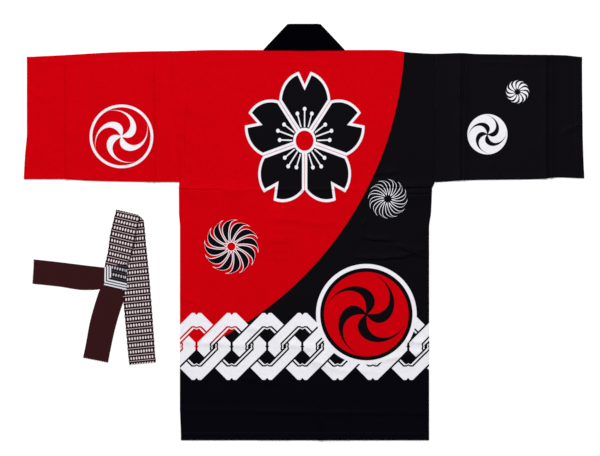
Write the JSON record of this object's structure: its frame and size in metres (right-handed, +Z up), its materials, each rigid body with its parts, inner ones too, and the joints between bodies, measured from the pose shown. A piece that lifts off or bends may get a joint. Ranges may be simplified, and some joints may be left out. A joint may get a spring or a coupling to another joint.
{
  "type": "happi coat with belt",
  "caption": "Short open-fronted cotton festival coat with straight sleeves and a band collar, laid flat with its back up, its folded belt beside it.",
  "frame": {"origin": "on the surface that the coat lies on, under the middle of its outline", "axes": "+Z up off the surface, +Y towards the collar, +X towards the black sleeve"},
  "size_m": [1.2997, 0.9662, 0.0045],
  "materials": {
    "body_cotton": "plain-weave cotton, printed red and black with white figures",
    "red_cotton": "plain-weave cotton, printed red",
    "black_cotton": "plain-weave cotton, printed black",
    "collar_cotton": "doubled black cotton with a slight sheen",
    "belt_plain": "plain dark brown woven belt cloth",
    "belt_figured": "dark brown belt cloth with woven rows of white dots and pale lines"
  },
  "bodies": {
    "root": {"back": "body_cotton", "left_front": "red_cotton", "right_front": "black_cotton", "left_sleeve": "red_cotton", "right_sleeve": "black_cotton", "collar_left": "collar_cotton", "collar_right": "collar_cotton", "collar_neck": "collar_cotton", "belt_left_tail": "belt_plain", "belt_down_tail": "belt_plain", "belt_return": "belt_figured", "belt_right_leg": "belt_figured", "belt_left_leg": "belt_figured", "belt_corner": "belt_figured"}
  },
  "joints": []
}
